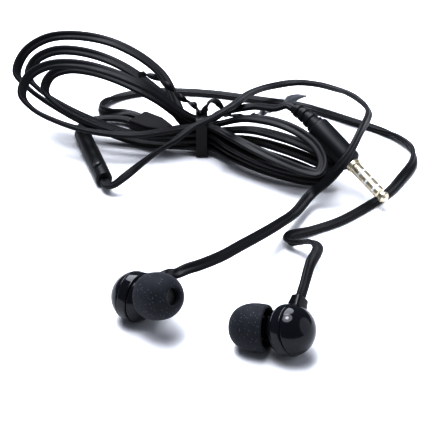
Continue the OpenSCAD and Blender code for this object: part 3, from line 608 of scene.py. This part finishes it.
def make_cord(name, points, sizes, material, replaces):
    """Makes a cord's jacket along an even route."""
    even, length = smooth_route(points, sizes.ring_spacing)
    tube = sweep(even, cord_section(sizes))
    link_mesh(name, tube, material, sharp=60, replaces=replaces)


# ---- Properties

def length_setting(name, description, default, least, most):
    """A length that a user may change."""
    return bpy.props.FloatProperty(name=name, description=description, default=default, min=least, max=most,
                                   unit="LENGTH")


def colour_setting(name, description, default):
    """A colour that a user may change, from its sRGB hex text."""
    return bpy.props.FloatVectorProperty(name=name, description=description, subtype="COLOR",
                                         default=srgb(default), min=0, max=1)


class EarphoneSizes(bpy.types.PropertyGroup):
    """Sizes that a user may change."""
    cord_width: length_setting("Cord width", "Width of the flat cord", .003, .002, .004)
    cord_thickness: length_setting("Cord thickness", "Thickness of the flat cord", .0012, .0008, .002)
    groove_width: length_setting("Groove width", "Width of the groove down each face", .0007, .0002, .0015)
    groove_depth: length_setting("Groove depth", "Depth of the groove down each face", .00016, 0, .0004)
    ring_spacing: length_setting("Ring spacing", "Distance between rings of the cord's mesh", .0008, .0003, .003)
    tie_twist: length_setting("Tie twist", "Length of one full twist of the tie's tails", .011, .004, .03)


class EarphoneColours(bpy.types.PropertyGroup):
    """Colours that a user may change, as linear values."""
    moulding: colour_setting("Moulding", "Pod, plug body and splitter", "#121418")
    contacts: colour_setting("Contacts", "Plating of the plug", "#ded6c4")
    insulators: colour_setting("Insulators", "Rings between the contacts", "#e9e9e6")
    tie: colour_setting("Tie", "Strip of the twist tie", "#0e0f12")
    # A pale grey that stands for the sheen on the glossy black strip: painted sheen
    tie_end_sheen: colour_setting("Tie end", "End of the twist tie's strip, pale grey as painted sheen", "#7c7e83")


def shade(colour, factor):
    """A darker or lighter version of a linear colour."""
    return tuple(min(1, c * factor) for c in colour)


# ---- Operators

class EARPHONES_OT_camera(bpy.types.Operator):
    """Places the camera: a long lens that looks down at the earbuds from in front"""
    bl_idname = "earphones.camera"
    bl_label = "Camera"

    def execute(self, context):
        data = bpy.data.cameras.new("Camera")
        data.sensor_width, data.lens = SENSOR, FOCAL_PX / FRAME_PX * SENSOR
        data.clip_start, data.clip_end = .01, 20
        camera = bpy.data.objects.new("Camera", data)
        camera.matrix_world = Matrix.Translation(CAMERA_AT) @ turn_by(CAMERA_TILT, "X")
        context.scene.collection.objects.link(camera)
        context.scene.camera = camera
        return {"FINISHED"}


class EARPHONES_OT_cords(bpy.types.Operator):
    """Makes the flat cords: both ear cords, the short run from the pod, and the folded main cord"""
    bl_idname = "earphones.cords"
    bl_label = "Cords"

    def execute(self, context):
        sizes = context.scene.earphone_sizes
        jacket = cord_jacket()
        pod_dir = heading_dir(POD_HEADING)
        near, far = Vector(POD_AT), Vector(POD_AT) + POD_LEN * pod_dir
        w = sizes.cord_width
        left = bud_exit(True, sizes) + route_points(LEFT_EAR_ROUTE)
        left += [(near - w * pod_dir, 0), (near, 0)]
        make_cord("left_ear_cord_jacket", left, sizes, jacket, ["left_ear_cord"])
        lower = [(far, 0), (far + w * pod_dir, 0)] + route_points(LEFT_LOWER_ROUTE) + inlet(-1, sizes)
        make_cord("left_lower_cord_jacket", lower, sizes, jacket, ["left_lower_cord"])
        right = bud_exit(False, sizes) + route_points(RIGHT_EAR_ROUTE) + inlet(1, sizes)
        make_cord("right_ear_cord_jacket", right, sizes, jacket, ["right_ear_cord"])
        relief = plug_relief_points()
        out = (relief[-1] - relief[-2]).normalized()
        lead = [(relief[-1], 0), (relief[-1] + w * out, 0)] + route_points(PLUG_LEAD_ROUTE)
        make_cord("main_cord_jacket", hank_points(sizes) + lead[::-1], sizes, jacket,
                  ["cord_hank", "plug_lead"])
        return {"FINISHED"}


class EARPHONES_OT_cord_facts(bpy.types.Operator):
    """Returns at once: it does not say how long each cord is or what sits on it"""
    bl_idname = "earphones.cord_facts"
    bl_label = "Cord facts"

    def execute(self, context):
        return {"FINISHED"}


class EARPHONES_OT_housings(bpy.types.Operator):
    """Finishes the round earbud housings: rear cap, middle ring and front shell"""
    bl_idname = "earphones.housings"
    bl_label = "Housings"

    def execute(self, context):
        gloss = gloss_housing()
        h, cap_r, front_r = RING_W / 2, dome_radius(CAP_DEPTH), dome_radius(FRONT_DEPTH)
        cap_z, front_z = cap_r - CAP_DEPTH - h, front_centre()

        def dome(radius, centre, seam_z, way):
            """A shell's outline from its pole to a rolled seam edge and back inside its wall."""
            turn = seam_z + way * SEAM_ROUND
            within = radius - SHELL_WALL
            outer_end = math.degrees(math.acos(way * (turn - centre) / radius))
            inner_end = math.degrees(math.acos(way * (seam_z - centre) / within))
            outer = arc(centre, radius, 0, outer_end, 36)
            inner = arc(centre, within, inner_end, 0, 20)
            outer, inner = ([(r, centre + way * (z - centre)) for r, z in part] for part in (outer, inner))
            return outer + rolled(outer[-1][0], turn, seam_z)[1:] + inner

        for side in ("left", "right"):
            m = bud_matrix(side == "left")
            cap = turned(dome(cap_r, cap_z, -h, -1), m, closed=False)
            link_mesh(side + "_rear_cap_gloss", cap, gloss, replaces=[side + "_rear_cap"])
            inner_r = HOUSING_R - SHELL_WALL
            band = rolled(HOUSING_R, -h + SEAM_ROUND, -h)[::-1] + rolled(HOUSING_R, h - SEAM_ROUND, h)
            band = [(inner_r, -h)] + band + [(inner_r, h)]
            link_mesh(side + "_mid_ring_gloss", turned(band, m), gloss,
                      replaces=[side + "_mid_ring"])
            # Front shell: a dome with the nozzle's tube standing on it, and a seat for the screen
            front = turned(dome(front_r, front_z, h, 1), m, closed=False)
            foot, end = front_r - .3 * MM, front_r + NOZZLE_LEN
            bore, seat = NOZZLE_R - NOZZLE_WALL, NOZZLE_R - NOZZLE_WALL / 2
            tube = [(bore, foot), (NOZZLE_R + .5 * MM, foot), (NOZZLE_R + .14 * MM, foot + .45 * MM),
                    (NOZZLE_R, foot + .9 * MM), (NOZZLE_R, end - .15 * MM), (NOZZLE_R - .15 * MM, end),
                    (seat, end), (seat, end - .45 * MM), (bore, end - .45 * MM)]
            turned(tube, nozzle_matrix(side == "left"), made=front)
            link_mesh(side + "_front_gloss", front, gloss, replaces=[side + "_front_shell"])
        return {"FINISHED"}


class EARPHONES_OT_ear_tips(bpy.types.Operator):
    """Makes the silicone ear tips on the nozzles"""
    bl_idname = "earphones.ear_tips"
    bl_label = "Ear tips"

    def execute(self, context):
        rubber = silicone()
        lip_len, lip_gap, curve = 2.4 * MM, .15 * MM, .87
        front = dome_radius(FRONT_DEPTH) + NOZZLE_LEN + lip_gap + lip_len
        rim, widest = front - TIP_LEN, front - TIP_LEN + 2.8 * MM
        sleeve_r, sleeve_outer = NOZZLE_R + .05 * MM, NOZZLE_R + .85 * MM

        def skirt(r, h, from_r, steps=28):
            """The bulging side, from its widest place up to radius from_r."""
            last = math.acos((from_r / r) ** (1 / curve))
            angles = [last * i / steps for i in range(steps + 1)]
            return [(r * math.cos(a) ** curve, widest + h * math.sin(a) ** curve) for a in angles]

        lip_r = .5 * MM
        outer = skirt(TIP_R, front - widest, OPENING_R + lip_r)
        inner = skirt(TIP_R - .7 * MM, front - widest - 2.6 * MM, sleeve_outer)
        rim_r, top = .95 * TIP_R, outer[-1][1]
        lip = [(OPENING_R + lip_r - lip_r * math.sin(a), top - lip_r + lip_r * math.cos(a))
               for a in (math.radians(b) for b in range(15, 91, 15))]
        side_in = [(TIP_R * .9975, widest - .7 * MM), (TIP_R * .988, widest - 1.5 * MM),
                   (TIP_R * .97, rim + .5 * MM), (rim_r, rim + .15 * MM), (rim_r - .2 * MM, rim),
                   (rim_r - .55 * MM, rim + .06 * MM), (rim_r - .7 * MM, rim + .25 * MM)]
        profile = [(OPENING_R, front - lip_len)] + lip[::-1] + outer[::-1] + side_in + inner
        profile += [(sleeve_outer, rim + 1.6 * MM), (sleeve_r, rim + 1.6 * MM), (sleeve_r, front - lip_len)]
        for side in ("left", "right"):
            link_mesh(side + "_eartip_skirt", turned(profile, nozzle_matrix(side == "left")), rubber,
                      body=side + "_tip", sharp=50, replaces=[side + "_eartip"])
        return {"FINISHED"}


class EARPHONES_OT_strain_reliefs(bpy.types.Operator):
    """Makes the tapered collars where the ear cords leave the housings"""
    bl_idname = "earphones.strain_reliefs"
    bl_label = "Strain reliefs"

    def execute(self, context):
        sizes = context.scene.earphone_sizes
        soft = satin_moulding("Moulded TPE strain relief", srgb("#0a0a0e"), srgb("#101116"), .3)
        # A rounded square: this power makes its corners fuller than a circle's
        square = .55
        outline = [tuple(math.copysign(abs(c) ** square, c) for c in (math.cos(a), math.sin(a)))
                   for a in (2 * math.pi * i / 40 for i in range(40))]
        for side in ("left", "right"):
            (top, lean), (beyond, _) = bud_exit(side == "left", sizes)
            travel = (beyond - top).normalized()
            points = [(top + (h - COLLAR_TOP) * MM * travel, lean) for h, _, _ in COLLAR_STEPS]
            tube = sweep(points, outline, scale_at=lambda i, run: [half * MM for half in COLLAR_STEPS[i][1:]])
            link_mesh(side + "_collar", tube, soft, sharp=40, replaces=[side + "_strain_relief"])
        return {"FINISHED"}


class EARPHONES_OT_inner_parts(bpy.types.Operator):
    """Finishes the parts inside the earbuds and behind the nozzles"""
    bl_idname = "earphones.inner_parts"
    bl_label = "Inner parts"

    def execute(self, context):
        screen = woven_screen()
        chassis = satin_moulding("Moulded driver chassis", srgb("#24262a"), srgb("#2b2d31"), .5)
        nickel = plated_metal("Nickel-plated magnet", srgb("#b4b6b8"), srgb("#c6c8ca"), .22)
        film = satin_moulding("Vapour-coated film", srgb("#a88f52"), srgb("#c2a867"), .25, 1200)
        mask = satin_moulding("Solder mask", srgb("#1c4a30"), srgb("#25603f"), .35, 1800)
        for side in ("left_", "right_"):
            for name, made in (("nozzle_screen", screen), ("driver_frame", chassis), ("magnet", nickel),
                               ("diaphragm", film), ("solder_board", mask)):
                dress(made, side + name)
        dress(mask, "pod_circuit_board")
        dress(nickel, "pod_microphone")
        return {"FINISHED"}


class EARPHONES_OT_pod(bpy.types.Operator):
    """Finishes the inline pod and its button"""
    bl_idname = "earphones.pod"
    bl_label = "Inline pod"

    def execute(self, context):
        colour = tuple(context.scene.earphone_colours.moulding)
        shell = satin_moulding("Moulded ABS pod", shade(colour, 1.2), shade(colour, 1.7), .42)
        key = satin_moulding("Moulded key", shade(colour, 1.4), shade(colour, 1.9), .42)
        dress(shell, "pod_lower_shell", "pod_upper_shell", "pod_near_cap", "pod_far_cap")
        dress(key, "pod_button")
        # A low raised dot on the button's face, coloured mid grey as a painted glint
        place = (pod_matrix() @ Matrix.Translation((DOT_ALONG, DOT_ACROSS, POD_R + DOT_FOOT))
                 @ Matrix.Scale(.5, 4, (0, 0, 1)))
        dot = turned(arc(0, DOT_R, 0, 90, 10) + [(0, 0)], place, steps=32, closed=False)
        glint_grey = satin_moulding("Key dot with painted glint", srgb("#55585f"), srgb("#62656c"), .42)
        link_mesh("button_dot", dot, glint_grey, body="button")
        return {"FINISHED"}


class EARPHONES_OT_plug(bpy.types.Operator):
    """Makes the plug's body and ribbed strain relief, and finishes its contacts"""
    bl_idname = "earphones.plug"
    bl_label = "Plug"

    def execute(self, context):
        colours = context.scene.earphone_colours
        colour = tuple(colours.moulding)
        body = satin_moulding("Moulded TPE plug body", shade(colour, 1.4), shade(colour, 2), .48)
        r, long = PLUG_BODY_R, PLUG_BODY_LEN
        profile = [(0, 0), (2.1 * MM, 0), (2.2 * MM, .04 * MM), (2.35 * MM, .14 * MM), (3.15 * MM, .75 * MM),
                   (3.38 * MM, 1.02 * MM), (r - .03 * MM, 1.3 * MM), (r, 1.6 * MM), (r, 5 * MM), (r, long * .6)]
        profile += [(r, long - .9 * MM), (r - .06 * MM, long - .5 * MM), (r - .22 * MM, long - .18 * MM),
                    (r - .5 * MM, long), (0, long)]
        shell = turned(profile, plug_matrix() @ Matrix.Translation((0, 0, PLUG_METAL)), closed=False)
        link_mesh("plug_body_shell", shell, body, replaces=["plug_body"])
        # Strain relief: rings and necks along the bent line
        line, _ = smooth_route([(p, 0) for p in plug_relief_points()], .12 * MM)
        pitch = PLUG_RELIEF_LEN / PLUG_RIBS
        root_r, end_r, groove = 2.8 * MM, 1.85 * MM, .42 * MM
        # Each rib takes up this share of the pitch, and its edges are rounded over this share
        rib_share, round_share = .55, .07

        def rib(i, run):
            """Radius of the relief at a run along it: a rib with rounded edges, then a neck."""
            taper = root_r + (end_r - root_r) * run / PLUG_RELIEF_LEN
            place = (run % pitch) / pitch
            if place >= rib_share:
                return (taper - groove,) * 2
            lift = min(1, min(place, abs(place - rib_share)) / round_share)
            return (taper - groove + groove * math.sqrt(max(0, 1 - (1 - lift) ** 2)),) * 2

        circle = [(math.cos(2 * math.pi * i / 48), math.sin(2 * math.pi * i / 48)) for i in range(48)]
        link_mesh("plug_relief_ribs", sweep(line, circle, scale_at=rib), body, sharp=50,
                  replaces=["plug_strain_relief"])
        contact = tuple(colours.contacts)
        gold = plated_metal("Pale gold plating", shade(contact, .92), shade(contact, 1.05), .36)
        dress(gold, "plug_sleeve", "plug_ring_2", "plug_ring_1", "plug_tip")
        ring = tuple(colours.insulators)
        dress(satin_moulding("Moulded insulator", shade(ring, .92), ring, .4, 2200), "plug_insulators")
        return {"FINISHED"}


class EARPHONES_OT_splitter(bpy.types.Operator):
    """Makes the moulded splitter that joins the two ear cords"""
    bl_idname = "earphones.splitter"
    bl_label = "Splitter"

    def execute(self, context):
        colour = tuple(context.scene.earphone_colours.moulding)
        # A darker copy of the moulding colour: painted shade, so the splitter sinks into the dark bundle behind the
        # hank
        soft = satin_moulding("Moulded TPE splitter with painted shade", shade(colour, .5), shade(colour, .8), .62)
        w, long, t = SPLITTER_W / 2, SPLITTER_LEN, SPLITTER_T
        chamfer = .6 * MM
        half = [(0, 1.9 * MM), (-.4 * MM, 2.3 * MM), (-.45 * long, w), (-long + chamfer, w), (-long, w - chamfer)]
        outline = half + [(x, -y) for x, y in half[::-1]]
        made = bmesh.new()
        base = made.faces.new([made.verts.new((x, y, 0)) for x, y in outline])
        raised = bmesh.ops.extrude_face_region(made, geom=[base])["geom"]
        bmesh.ops.translate(made, verts=[v for v in raised if isinstance(v, bmesh.types.BMVert)], vec=(0, 0, t))
        bmesh.ops.recalc_face_normals(made, faces=made.faces)
        flat = [e for e in made.edges if abs(e.verts[0].co.z - e.verts[1].co.z) < 1e-6]
        bmesh.ops.bevel(made, geom=flat, offset=.7 * MM, offset_type="OFFSET", segments=4, profile=.5,
                        affect="EDGES", material=-1, clamp_overlap=True)
        place = Matrix.Translation(SPLITTER_AT) @ turn_by(SPLITTER_HEADING, "Z")
        bmesh.ops.transform(made, matrix=place, verts=made.verts)
        link_mesh("splitter_moulding", made, soft, replaces=["y_splitter"])
        return {"FINISHED"}


class EARPHONES_OT_tie(bpy.types.Operator):
    """Makes the twist tie: the band round the waist and its twisted tails"""
    bl_idname = "earphones.tie"
    bl_label = "Twist tie"

    def execute(self, context):
        sizes, colours = context.scene.earphone_sizes, context.scene.earphone_colours
        colour = tuple(colours.tie)
        strip = satin_moulding("Twist tie film", shade(colour, .5), shade(colour, 1), .5, 1500, .00008)
        dress(strip, "tie_band")
        top = WAIST[2] + strand_pitch(sizes) * LOOPS + sizes.cord_thickness / 2 + TIE_ROOM + TIE_T
        base = Vector((WAIST[0], WAIST[1], top))
        # The wire makes a low ridge down the middle of each face
        outline = [(1, 0), (.97, .8), (.5, 1), (.26, 1.7), (0, 2.1), (-.26, 1.7), (-.5, 1), (-.97, .8)]
        outline += [(-x, -y) for x, y in outline]
        section = [(x * .95 * MM, y * .16 * MM) for x, y in outline]
        fold_len, fold_depth = 2 * MM, 3.4
        for name, route, replaced in (("tie_right_tail", RIGHT_TAIL, ["tie_tails"]),
                                      ("tie_left_tail", LEFT_TAIL, ())):
            even, long = smooth_route([(base + Vector(p[:3]), p[3]) for p in route], .25 * MM)

            def thicken(i, run):
                """The left tail ends in a small fold of its film."""
                return 1, fold_depth if route is LEFT_TAIL and run >= long - fold_len else 1

            tube = sweep(even, section, scale_at=thicken, turn_at=lambda i, run: 2 * math.pi * run / sizes.tie_twist)
            link_mesh(name, tube, strip, sharp=40, replaces=replaced)
        # Beyond its bend the right tail untwists into a flat blade; its film is coloured pale grey, painted sheen of
        # the glossy black strip
        even, length = smooth_route([(base + Vector(p[:3]), p[3]) for p in SHEEN_TAIL], .25 * MM)
        sheen_colour = tuple(colours.tie_end_sheen)
        sheen_film = satin_moulding("Twist tie film with painted sheen", shade(sheen_colour, .8), sheen_colour, .34, 1500, .00008)
        blade_len, blade_width = 9 * MM, 1.75
        root = length - blade_len

        def widen(i, run):
            """The blade widens from its root and then draws in to a point."""
            along = max(0, (run - root) / (length - root))
            if along < .3:
                return 1 + (blade_width - 1) * math.sin(math.pi * min(1, 1.6 * along)), .8
            return blade_width * max(.08, (1 - along) / .7) ** .8, .8

        def untwist(i, run):
            """The twist up to the blade's root, and none along the blade."""
            return -2 * math.pi * max(0, root - run) / (.6 * sizes.tie_twist)

        blade = sweep(even, section, scale_at=widen, turn_at=untwist)
        link_mesh("tie_right_end", blade, sheen_film, sharp=40)
        return {"FINISHED"}


class EARPHONES_OT_studio(bpy.types.Operator):
    """Lays the pale floor and sets the soft studio lights"""
    bl_idname = "earphones.studio"
    bl_label = "Studio"

    def execute(self, context):
        sheet = bmesh.new()
        bmesh.ops.create_grid(sheet, x_segments=1, y_segments=1, size=3)
        mesh = bpy.data.meshes.new("floor")
        sheet.to_mesh(mesh)
        sheet.free()
        mesh.transform(Matrix.Translation((0, 0, -.00002)))
        mesh.materials.append(paper_white())
        floor = bpy.data.objects.new("floor", mesh)
        context.scene.collection.objects.link(floor)
        world = bpy.data.worlds.new("Studio")
        world.use_nodes = True
        back = world.node_tree.nodes["Background"]
        back.inputs["Color"].default_value = (*srgb("#dde3f0"), 1)
        back.inputs["Strength"].default_value = .36
        context.scene.world = world
        # Round softboxes aimed at the middle of the object: place, diameter and power in watts
        centre = Vector((0, .05, 0))
        for name, at, size, power in (
                ("Key softbox", (-.2, .02, 1.1), .8, 10.5),
                ("Catch light", (-.2, .02, 1.05), .26, 2.5),
                ("Back softbox", (-.16, .7, .9), .9, 15),
                ("Fill softbox", (1.1, -.1, .4), 1.4, 7)):
            data = bpy.data.lights.new(name, "AREA")
            data.shape, data.size, data.energy, data.color = "DISK", size, power, srgb("#f8faff")
            lamp = bpy.data.objects.new(name, data)
            aim = (centre - Vector(at)).to_track_quat("-Z", "Y").to_matrix().to_4x4()
            lamp.matrix_world = Matrix.Translation(at) @ aim
            context.scene.collection.objects.link(lamp)
        context.scene.view_settings.view_transform = "Standard"
        context.scene.view_settings.gamma = .62
        return {"FINISHED"}


class EARPHONES_PT_panel(bpy.types.Panel):
    """Lists the steps that build the earphones"""
    bl_idname = "EARPHONES_PT_panel"
    bl_label = "Earphones"
    bl_space_type = "VIEW_3D"
    bl_region_type = "UI"
    bl_category = "Earphones"

    def draw(self, context):
        """Shows the sizes and colours, and a button for each step."""
        for group in (context.scene.earphone_sizes, context.scene.earphone_colours):
            for key in group.__annotations__:
                self.layout.prop(group, key)
        for step in STEPS:
            self.layout.operator(step.bl_idname)


STEPS = (
    EARPHONES_OT_camera, EARPHONES_OT_cords, EARPHONES_OT_housings, EARPHONES_OT_ear_tips,
    EARPHONES_OT_strain_reliefs, EARPHONES_OT_inner_parts, EARPHONES_OT_pod, EARPHONES_OT_plug,
    EARPHONES_OT_splitter, EARPHONES_OT_tie, EARPHONES_OT_cord_facts, EARPHONES_OT_studio,
)
CLASSES = (EarphoneSizes, EarphoneColours) + STEPS + (EARPHONES_PT_panel,)


def register():
    """Adds the classes, the sizes and the colours to Blender."""
    for made in CLASSES:
        bpy.utils.register_class(made)
    bpy.types.Scene.earphone_sizes = bpy.props.PointerProperty(type=EarphoneSizes)
    bpy.types.Scene.earphone_colours = bpy.props.PointerProperty(type=EarphoneColours)


def unregister():
    """Takes the classes, the sizes and the colours out of Blender again."""
    del bpy.types.Scene.earphone_colours
    del bpy.types.Scene.earphone_sizes
    for made in reversed(CLASSES):
        bpy.utils.unregister_class(made)


def main():
    """Builds the earphones."""
    register()
    bpy.ops.earphones.camera()
    bpy.ops.earphones.cords()
    bpy.ops.earphones.housings()
    bpy.ops.earphones.ear_tips()
    bpy.ops.earphones.strain_reliefs()
    bpy.ops.earphones.inner_parts()
    bpy.ops.earphones.pod()
    bpy.ops.earphones.plug()
    bpy.ops.earphones.splitter()
    bpy.ops.earphones.tie()
    bpy.ops.earphones.cord_facts()
    bpy.ops.earphones.studio()


if __name__ == "__main__":
    main()
